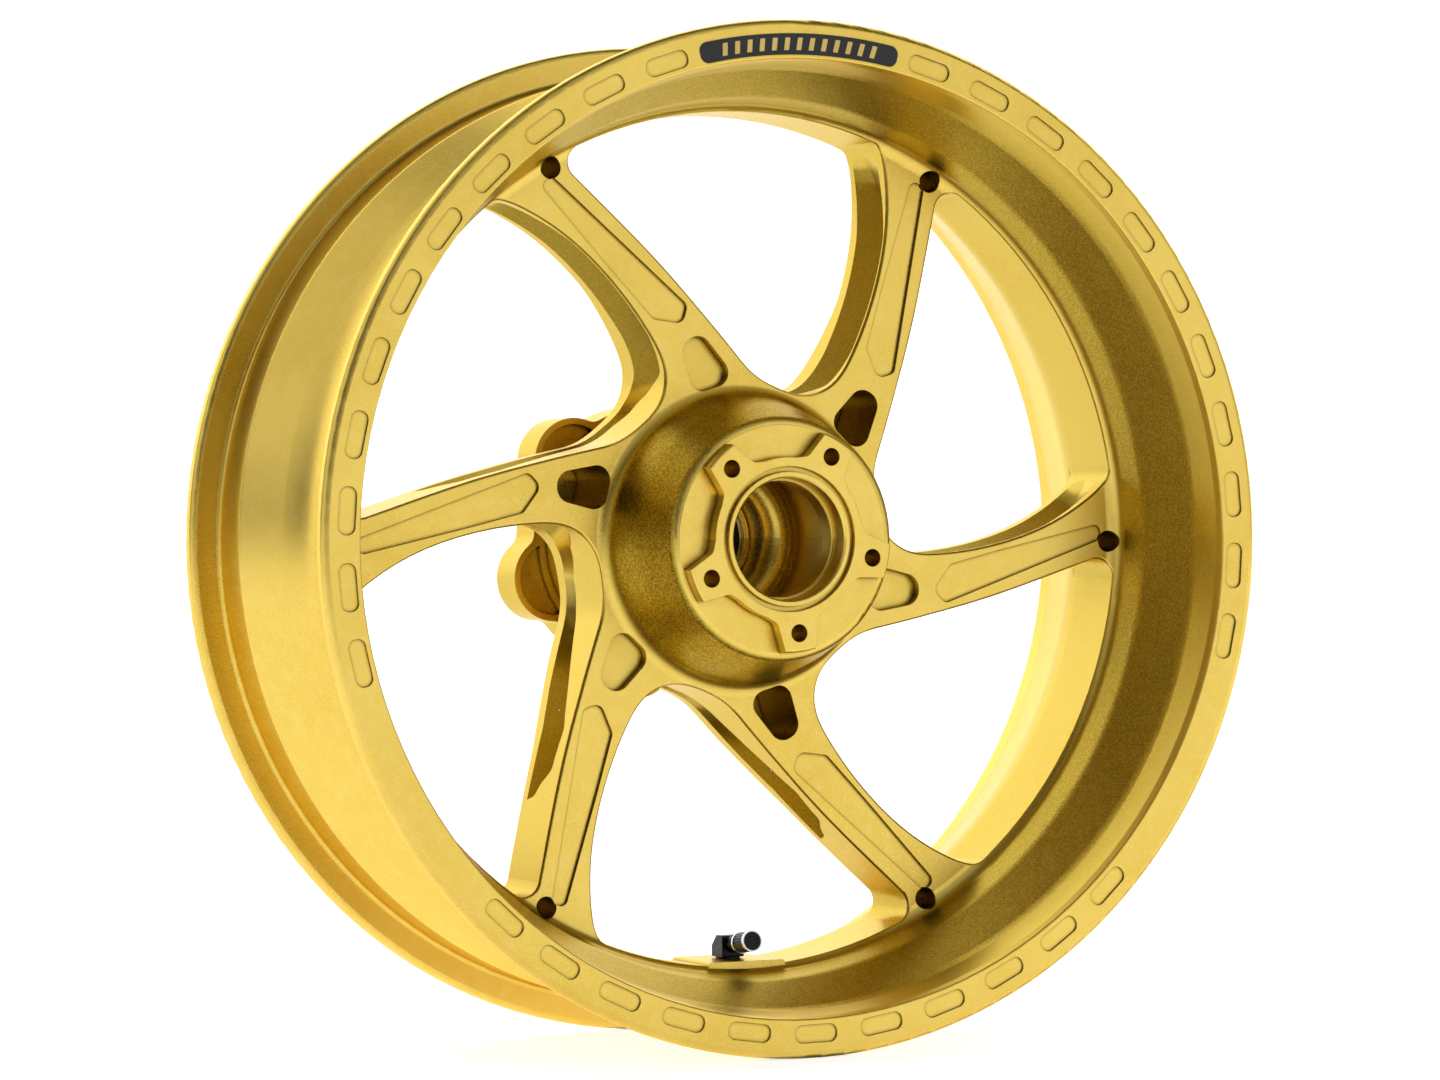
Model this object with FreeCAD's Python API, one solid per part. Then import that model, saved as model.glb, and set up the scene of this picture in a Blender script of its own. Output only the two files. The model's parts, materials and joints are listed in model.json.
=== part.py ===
"""Forged motorcycle rear wheel, 17 x 6.00, with its valve, hub bearing, cush drive and sprocket carrier.

Frame: origin at the wheel centre, on the middle plane of the rim. +Y runs along the axle from the brake side
to the sprocket side, +Z is up and +X points right when the wheel is seen from the brake side.
All sizes are in millimetres. "Clock" angles turn about +Y, and 0 points straight up.
"""
import FreeCAD
import Part
import math
import os

V = FreeCAD.Vector
ORIGIN = V(0, 0, 0)
AXLE = V(0, 1, 0)
UP = V(0, 0, 1)

# ---------------------------------------------------------------- driving dimensions: rim
LIP_R = 231.0                # outer radius of both flanges
LIP_FACE = 86.1              # flat face of each flange, from the middle plane
LIP_INNER_R = 213.5          # inner edge of the flat flange face
LIP_ROUND = 3.3
BEAD_R = 217.0               # bead seat, 17 inch motorcycle rim
BEAD_FACE = 76.2             # inner wall of each flange: 152.4 mm (6 inch) between the two
WELL_R = 199.0               # drop centre, tyre side
BARREL_R = 194.5             # inside of the drop centre
FLARE_Y = 21.0               # where the barrel starts to open towards the sprocket side

# ---------------------------------------------------------------- driving dimensions: spokes
SPOKES = 6
SPOKE_PITCH = 360.0 / SPOKES
SPOKE_CLOCK = -28.95         # clock angle of the first spoke
SPOKE_FACE = -17.6           # front face of the spokes
SPOKE_DEPTH = 35.5           # front face to back face, at the rim
TIP_HOLE_R = 5.0
TIP_HOLE_AT = 191.4
TIP_HOLE_END = 4.0
PANEL_DEPTH = 1.6
POCKET_DEEP = 37.0
POCKET_SHALLOW = 4.5
BACK_POCKET_FLOOR = 8.5      # lightening pocket in the back of each spoke
EDGE_ROUND = 1.2

# ---------------------------------------------------------------- driving dimensions: lip slots and label
SLOT_PITCH = 360.0 / 42
SLOT_MID_R = 219.8
SLOT_WIDTH = 8.2
SLOT_LENGTH = 21.0
SLOT_DEPTH = 0.9
SLOTS_PER_GROUP = 11
SLOT_GAP_CLOCK = -0.4        # clock angle of the middle of the first of three gaps
LABEL_SPAN = 25.6            # degrees
LABEL_WIDTH = 9.4
LABEL_THICK = 0.25

# ---------------------------------------------------------------- driving dimensions: hub
DISC_FACE = -68.1            # face that the brake disc bolts to
DISC_STEP = 7.0              # how far the ground between the disc bosses lies below their face
DISC_FLANGE_R = 51.0
DISC_BOLTS = 5
DISC_BOLT_CIRCLE_R = 42.4
DISC_BOLT_R = 4.0
DISC_BOLT_DEPTH = 22.0
DISC_BOLT_CLOCK = 90.0 - 131.8
SEAT_R = 27.5                # brake-side bearing seat, 55 mm
SEAT_LENGTH = 10.0
LEDGE_R = 26.0
HUB_CAVITY_R = 39.0
HUB_SHELL_R = 57.0
WEB_FACE = 12.4              # inner web of the hub, brake-side face
WEB_LIP_Y = 27.4
WEB_LIP_R = 23.3

# ---------------------------------------------------------------- driving dimensions: bearings
BEARING_BORE_R = 12.5        # 25 x 52 x 15 ball bearing
BEARING_OUTER_R = 26.0
BEARING_WIDTH = 15.0
BALL_R = 3.97
BALLS = 9
BALL_TRACK_R = 19.25
INNER_LAND_R = 16.6
OUTER_LAND_R = 21.9
SEAL_THICK = 1.0
BALL_PLAY = 0.05
HUB_BEARING_Y = 29.4         # brake-side face of the hub bearing
CARRIER_BEARING_Y = 76.0     # brake-side face of the carrier bearing
CIRCLIP_THICK = 1.6
SPACER_R = 16.2
SPACER_END = 110.0

# ---------------------------------------------------------------- driving dimensions: cush drive and carrier
LOBES = 6
LOBE_CLOCK = 90.0 - 138.6
LOBE_AT = 56.0
LOBE_R = 20.0
LOBE_FRONT = 73.4
LOBE_BACK = 94.4
BUSH_R = 16.0
BUSH_FLOOR = 79.4
FRONT_POCKET_R = 17.0
FRONT_POCKET_DEPTH = 3.4
SLEEVE_WALL = 1.5
PIN_R = 7.0
PIN_SLEEVE_R = 9.0
CARRIER_FACE = 95.0
CARRIER_THICK = 9.0
CARRIER_BOSS_R = 14.0
SPROCKET_STUD_R = 5.0
SPROCKET_STUD_LENGTH = 18.0
CARRIER_HUB_R = 33.0

# ---------------------------------------------------------------- driving dimensions: valve
VALVE_Y = 1.0                # valve hole, from the middle plane
VALVE_HOLE_R = 4.15
VALVE_SHANK_R = 4.0
PAD_TOP = -192.2             # flat boss that the valve stands on
VALVE_TILT = 8.0             # degrees that the stem leans towards the hub
VALVE_BLOCK = 11.0           # width and depth of the valve's block
VALVE_TOP = -181.5
GASKET_THICK = 0.8
NUT_SEAT = -198.4            # flat ground round the valve hole, tyre side
WASHER_THICK = 1.2
NUT_FLATS = 12.0
NUT_HEIGHT = 4.0
SHANK_END = -205.0
STEM_Z = -185.6              # where the stem leaves the block
STEM_ROOT_Y = -4.5
STEM_R = 3.85
STEM_END = 18.9              # distances along the stem
CORE_BORE_R = 2.6
CORE_BORE_END = 8.4
CORE_PIN_R = 0.6
AIR_R = 1.5
CAP_R = 4.7
CAP_START = 8.6
CAP_END = 20.8
CAP_RING = 1.3
CAP_RING_R = 4.95
CAP_SEAL_THICK = 0.8
CAP_SEAL_PLAY = 0.05         # between the seal and the cap that turns over it
CAP_GROOVES = 20


def rounded_wire(points, place):
    """Closed wire through (u, v, corner radius) points, mapped to space by place(u, v)."""
    edges = []
    starts = []
    ends = []
    arcs = []
    count = len(points)
    for i in range(count):
        u, v, radius = points[i]
        here = V(u, v, 0)
        before = V(points[i - 1][0], points[i - 1][1], 0)
        after = V(points[(i + 1) % count][0], points[(i + 1) % count][1], 0)
        back = (before - here).normalize()
        ahead = (after - here).normalize()
        half = 0.5 * back.getAngle(ahead)
        if radius <= 0 or half > math.radians(89.9):
            starts.append(here)
            ends.append(here)
            arcs.append(None)
            continue
        reach = radius / math.tan(half)
        middle = (back + ahead).normalize()
        centre = here + middle * (radius / math.sin(half))
        starts.append(here + back * reach)
        ends.append(here + ahead * reach)
        arcs.append(centre - middle * radius)
    for i in range(count):
        if arcs[i] is not None:
            three = [place(p.x, p.y) for p in (starts[i], arcs[i], ends[i])]
            edges.append(Part.Arc(*three).toShape())
        a = ends[i]
        b = starts[(i + 1) % count]
        if a.distanceToPoint(b) > 1e-6:
            edges.append(Part.makeLine(place(a.x, a.y), place(b.x, b.y)))
    return Part.Wire(edges)


def turned(points):
    """Solid of revolution about the axle from (r, y, corner radius) points."""
    wire = rounded_wire(points, lambda r, y: V(r, y, 0))
    return Part.Face(wire).revolve(ORIGIN, AXLE, 360)


def plate(points, y0, y1):
    """Prism along the axle from (x, z, corner radius) points."""
    wire = rounded_wire(points, lambda x, z: V(x, y0, z))
    return Part.Face(wire).extrude(V(0, y1 - y0, 0))


def rod(radius, y0, y1, x=0.0, z=0.0):
    """Round bar parallel to the axle."""
    return Part.makeCylinder(radius, y1 - y0, V(x, y0, z), AXLE)


def tube(outer, inner, y0, y1):
    return rod(outer, y0, y1).cut(rod(inner, y0 - 1, y1 + 1))


def clocked(shape, degrees):
    copy = shape.copy()
    copy.rotate(ORIGIN, AXLE, degrees)
    return copy


def around(shape, count, first=0.0):
    """Copies of a shape, evenly spaced about the axle."""
    return [clocked(shape, first + 360.0 * k / count) for k in range(count)]


def write(name, shape):
    if isinstance(shape, list):
        shape = Part.makeCompound(shape)
    shape.exportStep("parts/" + name + ".step")
    solids = shape.Solids
    print("%-26s solids %2d valid %s volume %.0f" % (name, len(solids), shape.isValid(), shape.Volume))


# ---------------------------------------------------------------- forged wheel
# One spoke window, seen with its right-hand spoke pointing straight up. The edge runs from the rim, down that
# spoke, round the hub and out along the neighbouring spoke. Each point also gives the side channel that
# lightens the spokes: how far its crease lies inside the wall, how deep the crease lies below the spoke
# face, and how far the front and back edges of its mouth lie from the crease, along the axle.
WINDOW_EDGE = [
    (-64.0, 201.0, None),
    (-44.0, 196.5, None),
    (-29.3, 190.6, (-0.1, 20.0, 15.0, 14.0)),
    (-19.5, 180.0, (5.0, 20.0, 15.12, 11.88)),
    (-7.0, 158.0, (8.0, 10.0, 8.4, 20.16)),
    (2.0, 130.0, (8.0, 10.0, 8.4, 20.16)),
    (6.0, 103.0, (8.0, 11.0, 9.24, 20.16)),
    (4.0, 84.0, (6.5, 17.0, 11.73, 17.94)),
    (-5.0, 73.6, (5.0, 33.0, 8.64, 7.56)),
    (-18.0, 69.3, (5.0, 38.5, 7.56, 3.24)),
    (-32.0, 68.6, (5.0, 38.0, 8.64, 3.24)),
    (-46.0, 72.3, (5.0, 34.0, 10.26, 5.4)),
    (-66.5, 78.6, (5.2, 26.0, 11.2, 10.64)),
    (-86.3, 84.3, (6.0, 19.0, 12.16, 12.8)),
    (-104.0, 88.8, (5.0, 20.5, 10.8, 10.8)),
    (-122.0, 92.7, (-0.1, 31.0, 1.0, 0.8)),
    (-150.0, 98.3, None),
    (-190.0, 106.0, None),
]
CHANNEL_LIP = 0.4            # how far outside the wall the channel's flanks end
CHANNEL_MARGIN = 2.0         # how far outside the wall its straight sides go on
CHANNEL_STEPS = 4
BEYOND_RIM = [(-190.0, 106.0), (-190.0, 201.0), (-64.0, 201.0)]
WINDOW_CORNER = 8.0

PANEL = [(-8.6, 187.8, 3.4), (-0.9, 187.8, 3.4), (29.3, 105.5, 3.6), (23.0, 99.0, 4.5), (10.9, 108.0, 3.5),
         (4.0, 135.0, 60.0)]
HUB_POCKET = [(17.0, 91.5, 7.0), (29.2, 91.5, 7.0), (34.4, 63.6, 6.5), (11.6, 68.6, 6.5)]
DISC_POCKET = [(-13.6, 35.8, 4.0), (13.6, 35.8, 4.0), (27.6, 49.2, 0.0), (37.0, 60.0, 0.0),
               (-37.0, 60.0, 0.0), (-27.6, 49.2, 0.0)]


def window_curve():
    """Edge of one window on the plane y = 0."""
    curve = Part.BSplineCurve()
    curve.interpolate([V(x, 0, z) for x, z, _ in WINDOW_EDGE])
    return curve


def window_prism(curve):
    """The whole hole between two spokes, with rounded corners at the rim."""
    corners = [V(x, 0, z) for x, z in BEYOND_RIM]
    closing = [Part.makeLine(corners[i], corners[i + 1]) for i in range(len(corners) - 1)]
    face = Part.Face(Part.Wire([curve.toShape()] + closing))
    y0 = SPOKE_FACE - 60
    prism = face.extrude(V(0, 140, 0))
    prism.translate(V(0, y0, 0))
    prism = prism.common(rod(BARREL_R, y0 - 1, y0 + 141))
    at_rim = []
    for edge in prism.Edges:
        a = edge.valueAt(edge.FirstParameter)
        b = edge.valueAt(edge.LastParameter)
        along_axle = abs(a.x - b.x) + abs(a.z - b.z) < 1e-4
        if along_axle and math.hypot(a.x, a.z) > BARREL_R - 0.5:
            at_rim.append(edge)
    return prism.makeFillet(WINDOW_CORNER, at_rim)


def channel_section(curve, parameter, groove):
    """Section across the channel: a V whose flanks end just outside the wall, with straight sides beyond."""
    inside, depth, front_reach, back_reach = groove
    here = curve.value(parameter) + AXLE * (SPOKE_FACE + depth)
    tangent = curve.tangent(parameter)[0]
    outward = V(-tangent.z, 0, tangent.x)
    crease = here + outward * inside
    front_lip = here - outward * CHANNEL_LIP - AXLE * front_reach
    back_lip = here - outward * CHANNEL_LIP + AXLE * back_reach
    front_mouth = here - outward * CHANNEL_MARGIN - AXLE * front_reach
    back_mouth = here - outward * CHANNEL_MARGIN + AXLE * back_reach
    return Part.makePolygon([front_mouth, front_lip, crease, back_lip, back_mouth, front_mouth])


def channel(curve):
    """Groove with a V section that runs round the window inside the spokes' side walls."""
    stations = [(curve.parameter(V(x, 0, z)), groove) for x, z, groove in WINDOW_EDGE if groove]
    sections = []
    for (t0, first), (t1, second) in zip(stations, stations[1:]):
        for step in range(CHANNEL_STEPS):
            share = step / CHANNEL_STEPS
            groove = [a + (b - a) * share for a, b in zip(first, second)]
            sections.append(channel_section(curve, t0 + (t1 - t0) * share, groove))
    sections.append(channel_section(curve, *stations[-1]))
    return Part.makeLoft(sections, True, False)


def wheel_blank():
    """Barrel, spoke disc and hub in one turned shape."""
    back = SPOKE_FACE + SPOKE_DEPTH
    rim_and_disc = turned([
        (DISC_FLANGE_R - 12, DISC_FACE, 0),
        (DISC_FLANGE_R, DISC_FACE, 1.5),
        (DISC_FLANGE_R, DISC_FACE + DISC_STEP, 0.6),
        (54.5, DISC_FACE + DISC_STEP + 0.8, 4),
        (61.5, -38.0, 40),
        (66.5, SPOKE_FACE, 7),
        (197.0, SPOKE_FACE, 7),
        (199.6, -37.0, 14),
        (211.0, -64.0, 16),
        (212.6, -82.0, 4),
        (LIP_INNER_R, -LIP_FACE, 0.9),
        (LIP_R, -LIP_FACE, LIP_ROUND),
        (LIP_R, -BEAD_FACE - 0.6, 3.0),
        (BEAD_R, -BEAD_FACE, 2.4),
        (BEAD_R - 0.8, -56.5, 1.5),
        (BEAD_R + 0.6, -54.5, 1.2),
        (BEAD_R + 0.6, -51.5, 2.5),
        (WELL_R, -27.0, 14),
        (WELL_R, 15.0, 60),
        (BEAD_R + 0.2, 51.5, 3.0),
        (BEAD_R + 0.2, 54.5, 1.2),
        (BEAD_R - 0.8, 56.5, 1.5),
        (BEAD_R, BEAD_FACE, 2.4),
        (LIP_R, BEAD_FACE + 0.6, 3.0),
        (LIP_R, LIP_FACE, LIP_ROUND),
        (LIP_INNER_R, LIP_FACE, 0.9),
        (212.0, 75.0, 12),
        (BARREL_R, FLARE_Y, 30),
        (BARREL_R, back, 2.0),
        (130.0, back + 0.5, 60),
        (94.0, 27.5, 40),
        (72.0, 31.0, 12),
        (HUB_SHELL_R, 42.0, 20),
        (HUB_SHELL_R, LOBE_BACK - 5, 0),
        (DISC_FLANGE_R - 12, LOBE_BACK - 5, 0),
    ])
    core = rod(DISC_FLANGE_R - 11.5, DISC_FACE, LOBE_BACK - 4)
    return rim_and_disc.multiFuse([core, lobe_housing()])


def hub_bore():
    """Everything turned out of the middle of the hub, as one solid."""
    seat_end = DISC_FACE + SEAT_LENGTH
    circlip_y = HUB_BEARING_Y + BEARING_WIDTH
    return turned([
        (0, DISC_FACE - 1, 0),
        (SEAT_R + 0.8, DISC_FACE - 1, 0),
        (SEAT_R + 0.8, DISC_FACE, 0),
        (SEAT_R, DISC_FACE + 0.8, 0),
        (SEAT_R, seat_end, 0.5),
        (LEDGE_R + 0.4, seat_end, 0),
        (LEDGE_R, seat_end + 0.5, 0),
        (LEDGE_R, seat_end + 9.5, 0),
        (HUB_CAVITY_R - 2, seat_end + 14.0, 5),
        (HUB_CAVITY_R, WEB_FACE, 10),
        (BEARING_OUTER_R + 1, WEB_FACE, 0),
        (BEARING_OUTER_R, WEB_FACE + 1, 0),
        (BEARING_OUTER_R, WEB_LIP_Y, 1),
        (WEB_LIP_R, WEB_LIP_Y, 0.4),
        (WEB_LIP_R, HUB_BEARING_Y, 0),
        (BEARING_OUTER_R, HUB_BEARING_Y, 0),
        (BEARING_OUTER_R, circlip_y, 0),
        (BEARING_OUTER_R + 1.3, circlip_y, 0),
        (BEARING_OUTER_R + 1.3, circlip_y + CIRCLIP_THICK, 0),
        (BEARING_OUTER_R, circlip_y + CIRCLIP_THICK, 0),
        (BEARING_OUTER_R, circlip_y + 4, 0),
        (35.0, circlip_y + 8, 4),
        (35.0, LOBE_BACK + 1, 0),
        (0, LOBE_BACK + 1, 0),
    ])


def lobe_housing():
    """Six round housings for the cush bushes, joined to the hub by smooth necks."""
    ring = rod(63.0, LOBE_FRONT, LOBE_BACK)
    lobes = around(rod(LOBE_R, LOBE_FRONT, LOBE_BACK, 0, LOBE_AT), LOBES, LOBE_CLOCK)
    housing = ring.multiFuse(lobes).removeSplitter()
    necks = []
    for edge in housing.Edges:
        a = edge.valueAt(edge.FirstParameter)
        b = edge.valueAt(edge.LastParameter)
        along_axle = abs(a.x - b.x) + abs(a.z - b.z) < 1e-4
        if along_axle and abs(math.hypot(a.x, a.z) - 63.0) < 0.01:
            necks.append(edge)
    return housing.makeFillet(7.0, necks)


def lip_slot(clock):
    half_l = SLOT_LENGTH / 2
    half_w = SLOT_WIDTH / 2
    corner = half_w - 0.4
    outline = [(-half_l, SLOT_MID_R - half_w, corner), (half_l, SLOT_MID_R - half_w, corner),
               (half_l, SLOT_MID_R + half_w, corner), (-half_l, SLOT_MID_R + half_w, corner)]
    return clocked(plate(outline, -LIP_FACE - 1, -LIP_FACE + SLOT_DEPTH), clock)


def lip_slots():
    slots = []
    for group in range(3):
        for k in range(2, 2 + SLOTS_PER_GROUP):
            slots.append(lip_slot(SLOT_GAP_CLOCK + 120 * group + SLOT_PITCH * k))
    return slots


def spoke_cuts(index):
    """Tip hole, long front panel, hub pocket and back pocket of one spoke."""
    depth = POCKET_DEEP if index % 2 else POCKET_SHALLOW
    cuts = [
        rod(TIP_HOLE_R, -90, TIP_HOLE_END, 0, TIP_HOLE_AT),
        plate(PANEL, SPOKE_FACE - 5, SPOKE_FACE + PANEL_DEPTH),
        plate(HUB_POCKET, SPOKE_FACE - 5, SPOKE_FACE + depth),
        plate(PANEL, BACK_POCKET_FLOOR, 60),
    ]
    return [clocked(cut, SPOKE_CLOCK + SPOKE_PITCH * index) for cut in cuts]


def disc_seat_cuts():
    """Ground between the disc bosses, the ring groove round the bearing mouth, and the bolt holes."""
    pocket = plate(DISC_POCKET, DISC_FACE - 1, DISC_FACE + DISC_STEP)
    pocket = pocket.cut(rod(36.6, DISC_FACE - 2, DISC_FACE + DISC_STEP + 1))
    first = DISC_BOLT_CLOCK + 180.0 / DISC_BOLTS
    pockets = around(pocket, DISC_BOLTS, first)
    groove = tube(SEAT_R + 5.2, SEAT_R + 2.6, DISC_FACE - 1, DISC_FACE + 2.6)
    bolt = rod(DISC_BOLT_R, DISC_FACE - 1, DISC_FACE + DISC_BOLT_DEPTH, 0, DISC_BOLT_CIRCLE_R)
    return pockets + [groove] + around(bolt, DISC_BOLTS, DISC_BOLT_CLOCK)


def cush_cuts():
    """Bush bores from the back and shallow pockets from the front of each lobe."""
    bush = rod(BUSH_R, BUSH_FLOOR, LOBE_BACK + 1, 0, LOBE_AT)
    front = rod(FRONT_POCKET_R, LOBE_FRONT - 20, LOBE_FRONT + FRONT_POCKET_DEPTH, 0, LOBE_AT)
    front = front.cut(rod(HUB_SHELL_R + 3.0, LOBE_FRONT - 30, LOBE_BACK))
    return around(bush, LOBES, LOBE_CLOCK) + around(front, LOBES, LOBE_CLOCK)


def valve_pad():
    outline = [(-21.0, -197.0, 0), (-18.5, PAD_TOP, 1.5), (18.5, PAD_TOP, 1.5), (21.0, -197.0, 0)]
    return plate(outline, -19.5, 20.0)


def valve_cuts():
    hole = upright(VALVE_HOLE_R, -210, -190)
    spot_face = upright(9.0, NUT_SEAT - 10, NUT_SEAT)
    return [hole, spot_face]


def window_front_edges(body, windows):
    """Edges where the windows break through the front of the wheel."""
    walls = Part.makeCompound(windows)
    found = []
    for edge in body.Edges:
        span = edge.LastParameter - edge.FirstParameter
        a = edge.valueAt(edge.FirstParameter)
        b = edge.valueAt(edge.LastParameter)
        early = edge.valueAt(edge.FirstParameter + 0.2 * span)
        middle = edge.valueAt(edge.FirstParameter + 0.5 * span)
        along_axle = math.hypot(a.x - b.x, a.z - b.z) < 1e-4
        if middle.y > 0 or along_axle or not 50 < math.hypot(middle.x, middle.z) < 196.5:
            continue
        if all(walls.distToShape(Part.Vertex(point))[0] < 2e-3 for point in (early, middle)):
            found.append(edge)
    return found


def forged_wheel():
    curve = window_curve()
    windows = around(window_prism(curve), SPOKES, SPOKE_CLOCK)
    body = wheel_blank().cut(windows)
    body = body.makeFillet(EDGE_ROUND, window_front_edges(body, windows))
    body = body.cut(around(channel(curve), SPOKES, SPOKE_CLOCK)).fuse(valve_pad())
    cuts = [hub_bore()] + lip_slots() + disc_seat_cuts() + cush_cuts() + valve_cuts()
    for index in range(SPOKES):
        cuts += spoke_cuts(index)
    return body.cut(cuts)


# ---------------------------------------------------------------- label on the brake-side lip
def rim_label():
    """Thin bent label in the gap between two groups of slots."""
    inner = SLOT_MID_R - LABEL_WIDTH / 2
    outer = SLOT_MID_R + LABEL_WIDTH / 2
    ring = tube(outer, inner, -LIP_FACE - LABEL_THICK, -LIP_FACE)
    half = math.radians(LABEL_SPAN / 2)
    far = 2 * outer
    aside = far * math.sin(half)
    above = far * math.cos(half)
    label = ring.common(plate([(0, 0, 0), (-aside, above, 0), (aside, above, 0)], -LIP_FACE - 1, 1 - LIP_FACE))
    ends = [edge for edge in label.Edges if abs(edge.Length - LABEL_THICK) < 1e-4]
    return clocked(label.makeFillet(3.8, ends), SLOT_GAP_CLOCK)


def label_marks():
    """A row of plain bars along the label."""
    front = -LIP_FACE - LABEL_THICK
    bar = plate([(-1.7, SLOT_MID_R - 2.8, 0.3), (0.7, SLOT_MID_R - 2.8, 0.3), (1.7, SLOT_MID_R + 2.8, 0.3),
                 (-0.7, SLOT_MID_R + 2.8, 0.3)], front - 0.1, front)
    return [clocked(bar, SLOT_GAP_CLOCK + LABEL_SPAN * k / 16) for k in range(-6, 7)]


# ---------------------------------------------------------------- ball bearings
def ball_circle(y, radius):
    ball = Part.makeSphere(radius, V(0, y, BALL_TRACK_R))
    return around(ball, BALLS)


def write_bearing(prefix, y0):
    """One sealed ball bearing whose brake-side face is at y0."""
    y1 = y0 + BEARING_WIDTH
    middle = 0.5 * (y0 + y1)
    track = Part.makeTorus(BALL_TRACK_R, BALL_R + BALL_PLAY, V(0, middle, 0), AXLE)
    outer = turned([(OUTER_LAND_R, y0, 0), (BEARING_OUTER_R, y0, 0.8), (BEARING_OUTER_R, y1, 0.8),
                    (OUTER_LAND_R, y1, 0)])
    inner = turned([(BEARING_BORE_R, y0, 0.8), (INNER_LAND_R, y0, 0), (INNER_LAND_R, y1, 0),
                    (BEARING_BORE_R, y1, 0.8)])
    write(prefix + "_outer_race", outer.cut(track))
    write(prefix + "_inner_race", inner.cut(track))
    write(prefix + "_balls", ball_circle(middle, BALL_R))
    cage = tube(BALL_TRACK_R + 1.0, BALL_TRACK_R - 1.0, middle - 5.3, middle + 5.3)
    write(prefix + "_cage", cage.cut(ball_circle(middle, BALL_R + BALL_PLAY)))
    seals = []
    for y in (y0 + 0.5, y1 - 0.5 - SEAL_THICK):
        seals.append(turned([(INNER_LAND_R + 0.3, y, 0), (OUTER_LAND_R, y, 0), (OUTER_LAND_R, y + SEAL_THICK, 0),
                             (INNER_LAND_R + 0.3, y + SEAL_THICK, 0)]))
    write(prefix + "_seals", seals)


def circlip(y):
    """Spring ring with a gap at the top, sprung into the groove behind a bearing."""
    ring = tube(BEARING_OUTER_R + 1.2, BEARING_OUTER_R - 2.0, y + 0.05, y + CIRCLIP_THICK - 0.05)
    gap = plate([(-3.5, 15, 0), (3.5, 15, 0), (5.0, 32, 0), (-5.0, 32, 0)], y - 1, y + 3)
    return ring.cut(gap)


# ---------------------------------------------------------------- cush drive and sprocket carrier
def bush_ring(outer, inner, y0, y1):
    ring = rod(outer, y0, y1, 0, LOBE_AT).cut(rod(inner, y0 - 1, y1 + 1, 0, LOBE_AT))
    return around(ring, LOBES, LOBE_CLOCK)


def drive_pins():
    """Pins that reach back into the bushes, each with a threaded end for the sprocket."""
    plate_back = CARRIER_FACE + CARRIER_THICK
    pin = rod(PIN_R, BUSH_FLOOR + 1.0, plate_back, 0, LOBE_AT)
    stud = rod(SPROCKET_STUD_R, plate_back, plate_back + SPROCKET_STUD_LENGTH, 0, LOBE_AT)
    tip = [edge for edge in stud.Edges if abs(edge.CenterOfMass.y - plate_back - SPROCKET_STUD_LENGTH) < 1e-4]
    return around(pin.fuse(stud.makeChamfer(1.0, tip)), LOBES, LOBE_CLOCK)


def sprocket_carrier():
    plate_back = CARRIER_FACE + CARRIER_THICK
    circlip_y = CARRIER_BEARING_Y + BEARING_WIDTH
    bosses = around(rod(CARRIER_BOSS_R, CARRIER_FACE, plate_back, 0, LOBE_AT), LOBES, LOBE_CLOCK)
    arm = plate([(-12.0, 28, 0), (12.0, 28, 0), (10.0, LOBE_AT, 0), (-10.0, LOBE_AT, 0)], CARRIER_FACE, plate_back)
    middle = rod(42.0, CARRIER_FACE, plate_back)
    body = middle.multiFuse(bosses + around(arm, LOBES, LOBE_CLOCK)).removeSplitter()
    nose = turned([(20, CARRIER_BEARING_Y - 2, 0), (CARRIER_HUB_R, CARRIER_BEARING_Y - 2, 1.5),
                   (CARRIER_HUB_R, CARRIER_FACE + 1, 0), (20, CARRIER_FACE + 1, 0)])
    bore = turned([
        (0, CARRIER_BEARING_Y - 3, 0),
        (23.0, CARRIER_BEARING_Y - 3, 0),
        (23.0, CARRIER_BEARING_Y, 0),
        (BEARING_OUTER_R, CARRIER_BEARING_Y, 0),
        (BEARING_OUTER_R, circlip_y, 0),
        (BEARING_OUTER_R + 1.3, circlip_y, 0),
        (BEARING_OUTER_R + 1.3, circlip_y + CIRCLIP_THICK, 0),
        (BEARING_OUTER_R, circlip_y + CIRCLIP_THICK, 0),
        (BEARING_OUTER_R, plate_back, 0),
        (BEARING_OUTER_R + 1, plate_back + 1, 0),
        (0, plate_back + 1, 0),
    ])
    holes = around(rod(PIN_R, CARRIER_FACE - 1, plate_back + 1, 0, LOBE_AT), LOBES, LOBE_CLOCK)
    return body.fuse(nose).cut([bore] + holes)


# ---------------------------------------------------------------- valve
def on_stem(shape):
    """Place a shape built along +Z from the origin onto the leaning valve stem."""
    lean = math.radians(VALVE_TILT)
    along = V(0, -math.cos(lean), math.sin(lean))
    turn = FreeCAD.Rotation(UP, along)
    shape.Placement = FreeCAD.Placement(V(0, STEM_ROOT_Y, STEM_Z), turn)
    return shape


def bar(radius, z0, z1):
    return Part.makeCylinder(radius, z1 - z0, V(0, 0, z0), UP)


def upright(radius, z0, z1):
    """Round bar along the valve hole."""
    return Part.makeCylinder(radius, z1 - z0, V(0, VALVE_Y, z0), UP)


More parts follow.
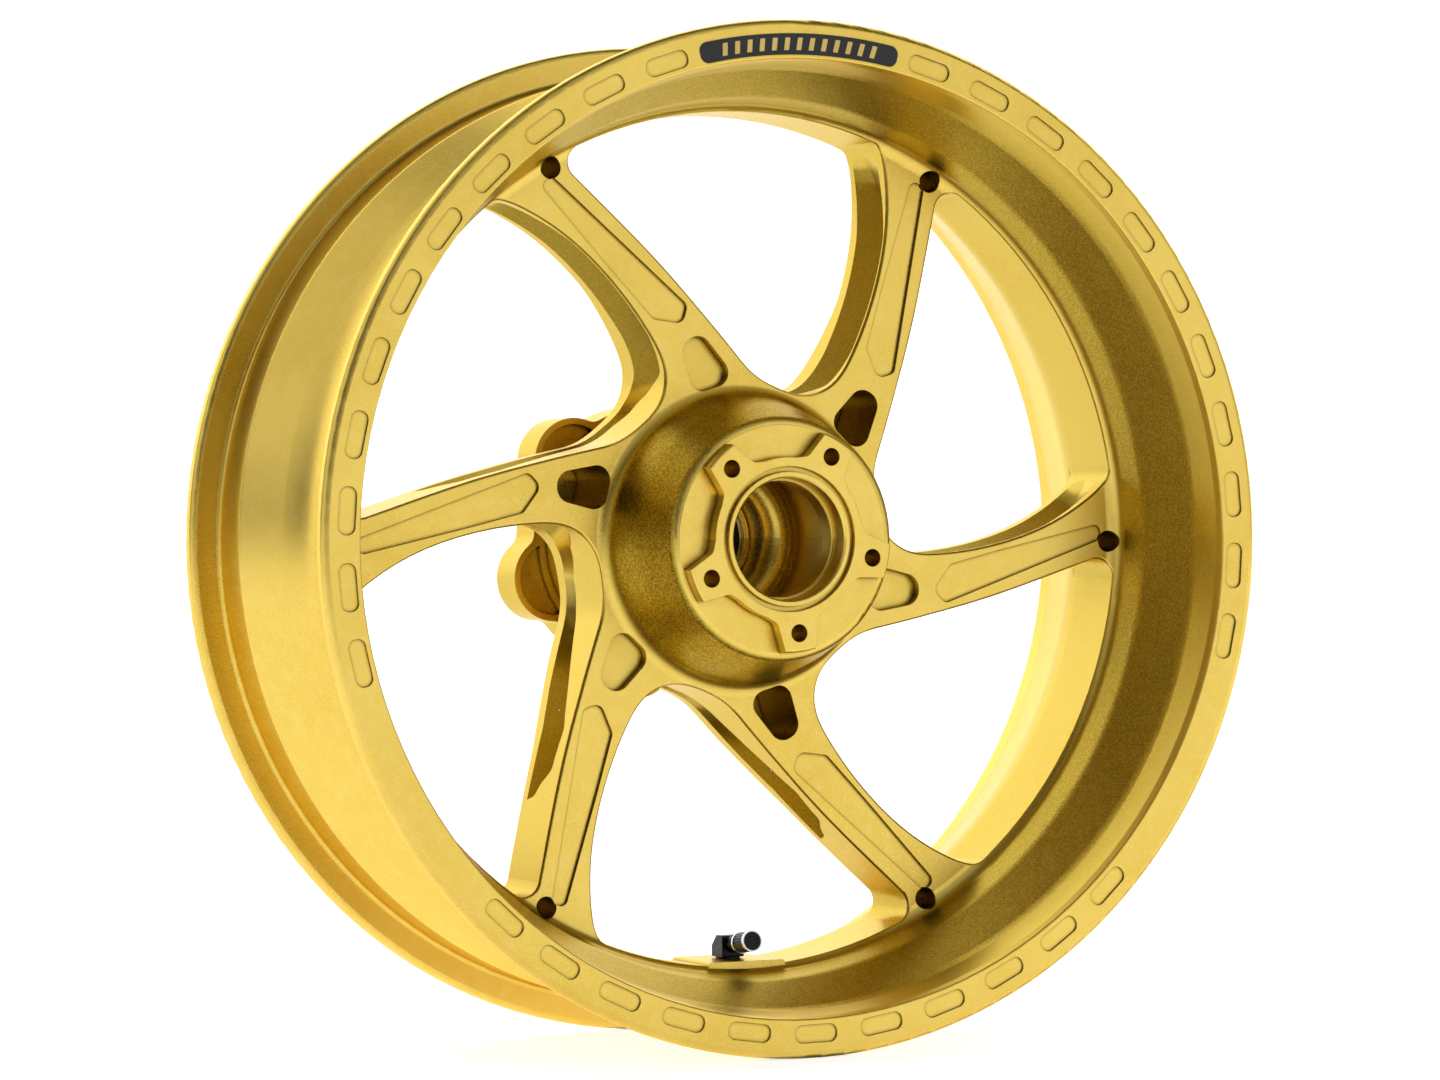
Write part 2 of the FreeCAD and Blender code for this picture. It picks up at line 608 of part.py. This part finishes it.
def valve_body():
    half = VALVE_BLOCK / 2
    low = PAD_TOP + GASKET_THICK
    outline = [(VALVE_Y - half, low, 0.6), (VALVE_Y + half, low, 0.6), (VALVE_Y + half, VALVE_TOP - 5, 0.6),
               (VALVE_Y + half - 5, VALVE_TOP, 0.6), (VALVE_Y - half, VALVE_TOP, 1.5)]
    wire = rounded_wire(outline, lambda y, z: V(-half, y, z))
    block = Part.Face(wire).extrude(V(VALVE_BLOCK, 0, 0))
    stem = bar(STEM_R, -4, STEM_END)
    for z in (1.8, 3.8, 5.8):
        stem = stem.cut(bar(STEM_R + 1, z, z + 0.9).cut(bar(STEM_R - 0.5, z - 1, z + 2)))
    body = block.fuse([on_stem(stem), upright(VALVE_SHANK_R, SHANK_END, low + 1)])
    air_way = [on_stem(bar(CORE_BORE_R, CORE_BORE_END, STEM_END + 1)), on_stem(bar(AIR_R, -0.5, CORE_BORE_END + 1)),
               upright(AIR_R, SHANK_END - 1, STEM_Z + 0.5)]
    return body.cut(air_way)


def valve_nut():
    across = NUT_FLATS / math.sqrt(3)
    corners = [V(across * math.cos(math.radians(60 * k)), VALVE_Y + across * math.sin(math.radians(60 * k)), 0)
               for k in range(7)]
    nut = Part.Face(Part.makePolygon(corners)).extrude(V(0, 0, -NUT_HEIGHT))
    nut.translate(V(0, 0, NUT_SEAT - WASHER_THICK))
    return nut.cut(upright(VALVE_SHANK_R, -215, -195))


def valve_cap():
    cap = bar(CAP_R, CAP_START, CAP_END)
    cap = cap.cut(bar(CAP_R + 1, CAP_START - 1, CAP_START + CAP_RING).cut(bar(CAP_R - 0.4, 0, 40)))
    cap = cap.cut(bar(CAP_R + 1, CAP_END - CAP_RING, CAP_END + 1).cut(bar(CAP_R - 0.4, 0, 40)))
    cap = cap.cut(bar(STEM_R + 0.05, CAP_START - 1, STEM_END + CAP_SEAL_THICK))
    cap = cap.cut(bar(2.6, CAP_END - 0.3, CAP_END + 1))
    for k in range(CAP_GROOVES):
        angle = math.radians(360.0 * k / CAP_GROOVES)
        z0 = CAP_START + CAP_RING + 0.6
        groove = Part.makeCylinder(0.35, CAP_END - CAP_RING - 0.6 - z0, V(CAP_R * math.cos(angle),
                                                                        CAP_R * math.sin(angle), z0), UP)
        cap = cap.cut(groove)
    return on_stem(cap)


def cap_rings():
    rings = []
    for z in (CAP_START, CAP_END - CAP_RING):
        rings.append(on_stem(bar(CAP_RING_R, z, z + CAP_RING).cut(bar(CAP_R - 0.4, z - 1, z + CAP_RING + 1))))
    return rings


def write_valve():
    washer_low = NUT_SEAT - WASHER_THICK
    write("valve_body", valve_body())
    write("valve_gasket", upright(5.6, PAD_TOP, PAD_TOP + GASKET_THICK).cut(upright(VALVE_SHANK_R, -215, -180)))
    write("valve_washer", upright(7.2, washer_low, NUT_SEAT).cut(upright(VALVE_SHANK_R, -215, -180)))
    write("valve_nut", valve_nut())
    write("valve_core_body", on_stem(bar(CORE_BORE_R, 12.4, 18.2).cut(bar(CORE_PIN_R + 0.3, 12, 19))))
    write("valve_core_pin", on_stem(bar(CORE_PIN_R, 9.6, STEM_END - 0.3)))
    write("valve_core_seal", on_stem(bar(1.9, 10.8, 12.1).cut(bar(CORE_PIN_R, 10, 13))))
    write("valve_cap", valve_cap())
    write("valve_cap_rings", cap_rings())
    seal_top = STEM_END + CAP_SEAL_THICK - CAP_SEAL_PLAY
    write("valve_cap_seal", on_stem(bar(STEM_R - CAP_SEAL_PLAY, STEM_END, seal_top)))


# ---------------------------------------------------------------- build
def main():
    os.makedirs("parts", exist_ok=True)
    write("forged_wheel", forged_wheel())
    write("rim_label", rim_label())
    write("label_marks", label_marks())
    write_bearing("hub_bearing", HUB_BEARING_Y)
    write("hub_circlip", circlip(HUB_BEARING_Y + BEARING_WIDTH))
    write("cush_outer_sleeves", bush_ring(BUSH_R, BUSH_R - SLEEVE_WALL, BUSH_FLOOR, LOBE_BACK - 0.4))
    write("cush_rubbers", bush_ring(BUSH_R - SLEEVE_WALL, PIN_SLEEVE_R, BUSH_FLOOR + 0.6, LOBE_BACK - 0.8))
    write("cush_inner_sleeves", bush_ring(PIN_SLEEVE_R, PIN_R, BUSH_FLOOR + 1.0, CARRIER_FACE))
    write("drive_pins", drive_pins())
    write("sprocket_carrier", sprocket_carrier())
    write_bearing("carrier_bearing", CARRIER_BEARING_Y)
    write("carrier_circlip", circlip(CARRIER_BEARING_Y + BEARING_WIDTH))
    seal_y = CARRIER_FACE + 3.0
    write("carrier_seal", tube(BEARING_OUTER_R, SPACER_R + 0.3, seal_y, seal_y + 5.0))
    write("inner_spacer", tube(SPACER_R, BEARING_BORE_R, HUB_BEARING_Y + BEARING_WIDTH, CARRIER_BEARING_Y))
    spacer_y = CARRIER_BEARING_Y + BEARING_WIDTH
    write("outer_spacer", tube(SPACER_R, BEARING_BORE_R, spacer_y, SPACER_END))
    write_valve()


main()
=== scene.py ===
"""Looks for the forged wheel rim: camera, studio, and a procedural material for every CAD node."""

import json
import math

import bpy
from mathutils import Matrix, Vector

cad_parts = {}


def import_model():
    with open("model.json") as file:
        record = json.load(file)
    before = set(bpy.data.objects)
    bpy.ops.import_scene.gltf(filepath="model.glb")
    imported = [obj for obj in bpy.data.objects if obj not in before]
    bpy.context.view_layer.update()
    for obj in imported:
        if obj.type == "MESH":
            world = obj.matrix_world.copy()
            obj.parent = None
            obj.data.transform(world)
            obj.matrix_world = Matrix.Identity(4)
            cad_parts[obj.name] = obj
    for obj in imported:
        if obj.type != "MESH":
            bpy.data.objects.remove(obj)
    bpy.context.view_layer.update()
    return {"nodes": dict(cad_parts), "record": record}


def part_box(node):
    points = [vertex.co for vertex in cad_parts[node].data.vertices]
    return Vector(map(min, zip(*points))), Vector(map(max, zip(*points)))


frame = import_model()
nodes = frame["nodes"]

WHEEL_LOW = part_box("forged_wheel")[0]
FLOOR_Z = WHEEL_LOW.z


# ---------------------------------------------------------------- node helpers
class Graph:
    """A short way to write a material's nodes."""

    def __init__(self, name):
        self.material = bpy.data.materials.new(name)
        self.material.use_nodes = True
        self.tree = self.material.node_tree
        self.tree.nodes.clear()
        self.shader = self.add("ShaderNodeBsdfPrincipled")
        out = self.add("ShaderNodeOutputMaterial")
        self.link(self.shader.outputs["BSDF"], out.inputs["Surface"])
        self.place = self.add("ShaderNodeTexCoord").outputs["Object"]

    def add(self, kind, **settings):
        node = self.tree.nodes.new(kind)
        for key, value in settings.items():
            setattr(node, key, value)
        return node

    def link(self, a, b):
        self.tree.links.new(a, b)

    def put(self, socket, value):
        """A number, a colour or another node's output into a socket."""
        if isinstance(value, bpy.types.NodeSocket):
            self.link(value, socket)
        else:
            socket.default_value = value

    def set(self, **values):
        """Shader sockets by name, with _ for a space."""
        for key, value in values.items():
            self.put(self.shader.inputs[key.replace("_", " ")], value)

    def math(self, operation, *values):
        node = self.add("ShaderNodeMath", operation=operation)
        for socket, value in zip(node.inputs, values):
            self.put(socket, value)
        return node.outputs[0]

    def noise(self, scale, detail=3.0, rough=0.5):
        node = self.add("ShaderNodeTexNoise")
        self.put(node.inputs["Vector"], self.place)
        node.inputs["Scale"].default_value = scale
        node.inputs["Detail"].default_value = detail
        node.inputs["Roughness"].default_value = rough
        return node.outputs[0]

    def spread(self, value, low, high, to_low=0.0, to_high=1.0, smooth=False):
        """value from low..high to to_low..to_high, held at both ends."""
        node = self.add("ShaderNodeMapRange", clamp=True)
        if smooth:
            node.interpolation_type = "SMOOTHSTEP"
        for name, number in (("From Min", low), ("From Max", high), ("To Min", to_low), ("To Max", to_high)):
            self.put(node.inputs[name], number)
        self.put(node.inputs["Value"], value)
        return node.outputs[0]

    def mix(self, share, first, second):
        node = self.add("ShaderNodeMix", data_type="RGBA")
        self.put(node.inputs["Factor"], share)
        self.put(node.inputs["A"], first)
        self.put(node.inputs["B"], second)
        return node.outputs["Result"]

    def parts(self):
        """x, y, z of the point, and its distance from the axle."""
        node = self.add("ShaderNodeSeparateXYZ")
        self.link(self.place, node.inputs[0])
        x, y, z = node.outputs
        radius = self.math("SQRT", self.math("ADD", self.math("MULTIPLY", x, x), self.math("MULTIPLY", z, z)))
        return x, y, z, radius

    def facing(self):
        """How squarely the surface faces along the axle, 0 to 1."""
        node = self.add("ShaderNodeSeparateXYZ")
        self.link(self.add("ShaderNodeTexCoord").outputs["Normal"], node.inputs[0])
        return self.math("ABSOLUTE", node.outputs[1])

    def shelter(self, distance, samples=6):
        """1 in the open and 0 deep in a corner, looking this far round the point."""
        node = self.add("ShaderNodeAmbientOcclusion", samples=samples)
        node.inputs["Distance"].default_value = distance
        return node.outputs["AO"]

    def soft_edges(self, radius, samples=4):
        node = self.add("ShaderNodeBevel", samples=samples)
        node.inputs["Radius"].default_value = radius
        return node.outputs[0]

    def between(self, value, low, high, blend):
        """1 where value lies between low and high, fading out over blend."""
        rise = self.spread(value, low - blend, low + blend, smooth=True)
        fall = self.spread(value, high - blend, high + blend, 1.0, 0.0, smooth=True)
        return self.math("MULTIPLY", rise, fall)

    def bump(self, height, distance, strength, after=None):
        """Height as relief, in metres, on top of another normal if there is one."""
        node = self.add("ShaderNodeBump")
        node.inputs["Strength"].default_value = strength
        node.inputs["Distance"].default_value = distance
        self.put(node.inputs["Height"], height)
        if after is not None:
            self.link(after, node.inputs["Normal"])
        return node.outputs[0]


def rgb(r, g, b):
    """A display colour, 0 to 255, as linear light."""
    linear = [((c / 255 + 0.055) / 1.055) ** 2.4 if c > 10 else c / 255 / 12.92 for c in (r, g, b)]
    return (*linear, 1.0)


# ---------------------------------------------------------------- materials
GOLD = rgb(230, 200, 100)
GOLD_DEEP = rgb(216, 184, 82)
GOLD_PALE = rgb(240, 216, 132)
# blasted gold, dark partly from the blasting and partly as painted shade on slanted slopes and side walls
GOLD_BLASTED_AND_SHADE = rgb(126, 112, 14)
GOLD_SHADE = rgb(104, 84, 8)
# painted shade: dark lines in corners and creases
GOLD_CORNER_SHADE = rgb(56, 44, 4)
GOLD_EDGE = rgb(255, 243, 206)   # tint of glancing reflections
BLAST_GRAIN = 1150.0
EDGE_SOFTNESS = 0.0004           # radius that the light sees on sharp edges

# Zones of the forging, as distances from the axle
DOME = (0.053, 0.070)            # slope round the disc seat
DISH = (0.196, 0.2125)           # slope inside the brake-side lip
SPOKES = (0.078, 0.192)
RIM_INSIDE = (0.1965, 0.1985)    # the barrel's inside fades out here
HUB_BORE = (0.040, 0.046)        # and the hub's bore here
BRAKE_SIDE = (-0.024, -0.014)    # y over which the blasting fades out
DISH_SHARE = 0.8
WALL_SHADE_SHARE = 0.35
FLANK_SHARE = 0.75
HOLLOW_REACH = 0.045             # how far big hollows shade themselves
CORNER_REACH = 0.0018            # how far corners do


def blasting_and_slope_shade(g, y, radius, square):
    """1 on the coarse blasted slopes of the dome and the lip's dish, 0 on the machined faces; the same mask darkens
    these slopes as painted shade.
    """
    ahead = g.spread(y, *BRAKE_SIDE, 1.0, 0.0, smooth=True)
    dome = g.math("MULTIPLY", g.between(radius, *DOME, 0.002), ahead)
    dish = g.spread(g.between(radius, *DISH, 0.003), 0.0, 1.0, 0.0, DISH_SHARE)
    dish = g.math("MULTIPLY", dish, ahead)
    slanting = g.spread(square, 0.75, 0.97, 1.0, 0.0, smooth=True)
    return g.math("MULTIPLY", g.math("MAXIMUM", dome, dish), slanting)


def hollows(g, radius, square, inside):
    """How deep in shade the surface lies: big hollows and the spokes' sides."""
    flanks = g.math("MULTIPLY", g.between(radius, *SPOKES, 0.002), g.between(square, 0.22, 0.93, 0.05))
    wide = g.spread(g.shelter(HOLLOW_REACH), 0.1, 0.8, 0.52, 0.0, smooth=True)
    wide = g.math("MAXIMUM", wide, g.math("MULTIPLY", flanks, FLANK_SHARE))
    return g.math("MULTIPLY", inside, wide)


def gold_forging():
    """Gold anodising: pale machined faces, coarse blasting on the dome and inside the rim darkened with painted
    shade, painted shade on side walls, in recesses and as dark lines in corners.
    """
    g = Graph("gold_forging")
    _, y, _, radius = g.parts()
    square = g.facing()
    cloud = g.noise(9.0, 4.0, 0.55)
    fine = g.noise(140.0, 3.0, 0.6)
    grain = g.noise(BLAST_GRAIN, 2.0, 0.65)

    blast_and_shade = blasting_and_slope_shade(g, y, radius, square)
    inside_rim = g.spread(radius, *RIM_INSIDE, 1.0, 0.0, smooth=True)
    inside = g.math("MULTIPLY", inside_rim, g.spread(radius, *HUB_BORE, smooth=True))
    # painted shade on surfaces inside the rim that face across the axle
    wall_shade = g.math("MULTIPLY", inside, g.spread(square, 0.4, 0.85, WALL_SHADE_SHARE, 0.0, smooth=True))
    dark = g.math("MAXIMUM", blast_and_shade, wall_shade)
    dark = g.math("MULTIPLY", dark, g.spread(fine, 0.3, 0.7, 0.85, 1.0))
    speckle = g.spread(grain, 0.42, 0.62)
    speckle = g.math("MULTIPLY", speckle, g.spread(blast_and_shade, 0.0, 1.0, 0.2, 0.8))

    tone = g.mix(g.spread(cloud, 0.35, 0.68), GOLD_DEEP, GOLD)
    tone = g.mix(g.spread(fine, 0.45, 0.8, 0.0, 0.25), tone, GOLD_PALE)
    # painted shade: the blasted slopes and the side walls take the dark blasted colour
    tone = g.mix(dark, tone, GOLD_BLASTED_AND_SHADE)
    tone = g.mix(hollows(g, radius, square, inside), tone, GOLD_SHADE)
    # painted shade in corners and groove bottoms, from a short-reach occlusion
    tone = g.mix(g.spread(g.shelter(CORNER_REACH), 0.45, 0.92, 0.95, 0.0), tone, GOLD_CORNER_SHADE)
    tone = g.mix(speckle, tone, GOLD_DEEP)

    rough = g.math("ADD", g.spread(cloud, 0.3, 0.7, 0.27, 0.33), g.spread(grain, 0.3, 0.7, -0.04, 0.04))
    rough = g.math("ADD", rough, g.math("MULTIPLY", blast_and_shade, 0.1))
    height = g.math("MULTIPLY", grain, g.spread(blast_and_shade, 0.0, 1.0, 0.3, 1.0))
    g.set(Metallic=1.0, Base_Color=tone, Roughness=rough, Specular_Tint=GOLD_EDGE)
    g.set(Normal=g.bump(height, 0.0001, 0.6, after=g.soft_edges(EDGE_SOFTNESS)))
    return g.material


def plain(name, colour, metallic, roughness, grain=900.0, depth=0.00002, shift=0.05):
    """One finish with fine grain, small colour changes and uneven gloss."""
    g = Graph(name)
    wide = g.noise(25.0, 3.0, 0.55)
    tight = g.noise(grain, 3.0, 0.6)
    darker = tuple(c * 0.78 for c in colour[:3]) + (1.0,)
    g.set(Base_Color=g.mix(g.spread(wide, 0.35, 0.7), darker, colour), Metallic=metallic)
    g.set(Roughness=g.math("ADD", roughness, g.spread(tight, 0.3, 0.7, -shift, shift)))
    g.set(Normal=g.bump(tight, depth, 0.6))
    return g.material


def turned(name, colour, roughness, pitch=0.00025):
    """Lathe-turned metal: fine rings about the axle."""
    g = Graph(name)
    x, y, z, radius = g.parts()
    rings = g.math("SINE", g.math("MULTIPLY", g.math("ADD", radius, y), 2 * math.pi / pitch))
    haze = g.noise(60.0, 3.0, 0.6)
    darker = tuple(c * 0.8 for c in colour[:3]) + (1.0,)
    g.set(Base_Color=g.mix(g.spread(haze, 0.35, 0.7), darker, colour), Metallic=1.0)
    g.set(Roughness=g.spread(haze, 0.3, 0.7, roughness - 0.05, roughness + 0.05))
    g.set(Normal=g.bump(rings, 0.000004, 0.5))
    return g.material


MATERIALS = {
    "gold_forging": gold_forging(),
    "label_black": plain("label_black", rgb(12, 12, 11), 0.0, 0.5, 1400.0, 0.000008),
    "label_print": plain("label_print", rgb(226, 192, 100), 0.0, 0.5, 1400.0, 0.000008),
    "bearing_steel": turned("bearing_steel", rgb(196, 196, 198), 0.24),
    "ball_steel": plain("ball_steel", rgb(222, 222, 224), 1.0, 0.1, 500.0, 0.000002, 0.02),
    "cage_polymer": plain("cage_polymer", rgb(70, 58, 44), 0.0, 0.5),
    "seal_rubber": plain("seal_rubber", rgb(26, 26, 27), 0.0, 0.55, 1500.0, 0.00003),
    "spring_steel": plain("spring_steel", rgb(70, 70, 74), 1.0, 0.38),
    "zinc_steel": plain("zinc_steel", rgb(200, 198, 184), 1.0, 0.3, 700.0, 0.00001),
    "cush_rubber": plain("cush_rubber", rgb(22, 22, 22), 0.0, 0.62, 1200.0, 0.00005),
    "carrier_black": plain("carrier_black", rgb(46, 46, 49), 0.9, 0.42, 2200.0, 0.00002),
    "spacer_aluminium": turned("spacer_aluminium", rgb(206, 206, 208), 0.28),
    "valve_black": plain("valve_black", rgb(38, 38, 40), 0.85, 0.36, 2200.0, 0.000012),
    "brass_core": plain("brass_core", rgb(210, 178, 104), 1.0, 0.26, 700.0, 0.000008),
    "cap_black": plain("cap_black", rgb(34, 34, 36), 0.85, 0.33, 2200.0, 0.000012),
    "ring_metal": plain("ring_metal", rgb(226, 226, 228), 1.0, 0.2, 700.0, 0.000006),
}

for entry in frame["record"]["subparts"]:
    slots = nodes[entry["node"]].data.materials
    slots.clear()
    slots.append(MATERIALS[entry["material_slot"]])


# ---------------------------------------------------------------- studio
FLOOR_GLOW = 0.7
WALL_GLOW = 1.1
WALL_AT = 6.0
CORNER = 2.5
SHEET_HALF = 18.0
CORNER_STEPS = 16
PAPER = rgb(244, 244, 244)
WHITE = (1.0, 1.0, 1.0, 1.0)


def studio_paper():
    """Matt paper that glows a little, and more so up the wall."""
    g = Graph("studio_paper")
    _, _, height, _ = g.parts()
    glow = g.spread(height, FLOOR_Z, FLOOR_Z + CORNER, FLOOR_GLOW, WALL_GLOW, smooth=True)
    g.set(Base_Color=PAPER, Roughness=1.0, Specular_IOR_Level=0.0, Emission_Color=WHITE, Emission_Strength=glow)
    return g.material


def studio_floor():
    """One plain pale sheet behind and under the wheel: floor, curved corner and wall."""
    profile = [(-SHEET_HALF, FLOOR_Z), (WALL_AT, FLOOR_Z)]
    for step in range(1, CORNER_STEPS + 1):
        angle = math.radians(90.0 * step / CORNER_STEPS)
        profile.append((WALL_AT + CORNER * math.sin(angle), FLOOR_Z + CORNER * (1 - math.cos(angle))))
    profile.append((WALL_AT + CORNER, SHEET_HALF))
    turn = Matrix.Rotation(CAMERA_YAW, 4, "Z")
    edges = (-SHEET_HALF, SHEET_HALF)
    vertices = [turn @ Vector((side, depth, height)) for depth, height in profile for side in edges]
    faces = [(2 * i, 2 * i + 1, 2 * i + 3, 2 * i + 2) for i in range(len(profile) - 1)]
    mesh = bpy.data.meshes.new("studio_floor")
    mesh.from_pydata(vertices, [], faces)
    mesh.shade_smooth()
    mesh.materials.append(studio_paper())
    floor = bpy.data.objects.new("studio_floor", mesh)
    bpy.context.scene.collection.objects.link(floor)


# Soft panels round the wheel: azimuth and elevation in degrees (azimuth 0 is the brake side, 90 is +X), and
# how bright each one is. The room between them is dim.
PANELS = [
    (38, 2, 0.95),
    (8, 40, 0.45),
    (284, 4, 0.62),
    (248, 42, 0.8),
]
PANEL_CORE = 14.0
PANEL_EDGE = 42.0
ROOM_LIGHT = 0.02
BACKDROP = 0.93


def world():
    """The soft panels as bright patches of the surroundings; the eye itself sees a plain pale room."""
    room = bpy.data.worlds.new("studio")
    bpy.context.scene.world = room
    room.use_nodes = True
    tree = room.node_tree
    background = tree.nodes["Background"]
    background.inputs["Color"].default_value = WHITE

    def add(kind, **settings):
        node = tree.nodes.new(kind)
        for key, value in settings.items():
            setattr(node, key, value)
        return node

    direction = add("ShaderNodeVectorMath", operation="NORMALIZE")
    tree.links.new(add("ShaderNodeTexCoord").outputs["Generated"], direction.inputs[0])
    total = None
    for azimuth, elevation, bright in PANELS:
        a, e = math.radians(azimuth), math.radians(elevation)
        near = add("ShaderNodeVectorMath", operation="DOT_PRODUCT")
        near.inputs[1].default_value = (math.sin(a) * math.cos(e), -math.cos(a) * math.cos(e), math.sin(e))
        tree.links.new(direction.outputs[0], near.inputs[0])
        patch = add("ShaderNodeMapRange", interpolation_type="SMOOTHSTEP")
        patch.inputs["From Min"].default_value = math.cos(math.radians(PANEL_EDGE))
        patch.inputs["From Max"].default_value = math.cos(math.radians(PANEL_CORE))
        patch.inputs["To Max"].default_value = bright
        tree.links.new(near.outputs["Value"], patch.inputs["Value"])
        join = add("ShaderNodeMath", operation="ADD")
        tree.links.new(patch.outputs[0], join.inputs[0])
        if total is None:
            join.inputs[1].default_value = ROOM_LIGHT
        else:
            tree.links.new(total, join.inputs[1])
        total = join.outputs[0]
    seen = add("ShaderNodeMix", data_type="FLOAT")
    tree.links.new(add("ShaderNodeLightPath").outputs["Is Camera Ray"], seen.inputs["Factor"])
    tree.links.new(total, seen.inputs["A"])
    seen.inputs["B"].default_value = BACKDROP
    tree.links.new(seen.outputs["Result"], background.inputs["Strength"])


# ---------------------------------------------------------------- camera
CAMERA_AT = Vector((-1.0882057, -2.2766981, 0.0168432))
CAMERA_YAW = -0.445114292
CAMERA_PITCH = 0.00687939
CAMERA_ROLL = -0.01090643
LENS = 137.65
SENSOR = 36.0


def camera():
    data = bpy.data.cameras.new("camera")
    data.lens = LENS
    data.sensor_width = SENSOR
    turn = Matrix.Rotation(CAMERA_YAW, 4, "Z") @ Matrix.Rotation(math.pi / 2 - CAMERA_PITCH, 4, "X")
    turn = turn @ Matrix.Rotation(CAMERA_ROLL, 4, "Z")
    eye = bpy.data.objects.new("camera", data)
    bpy.context.scene.collection.objects.link(eye)
    eye.matrix_world = Matrix.Translation(CAMERA_AT) @ turn
    bpy.context.scene.camera = eye


camera()
world()
studio_floor()
bpy.context.scene.view_settings.view_transform = "Standard"
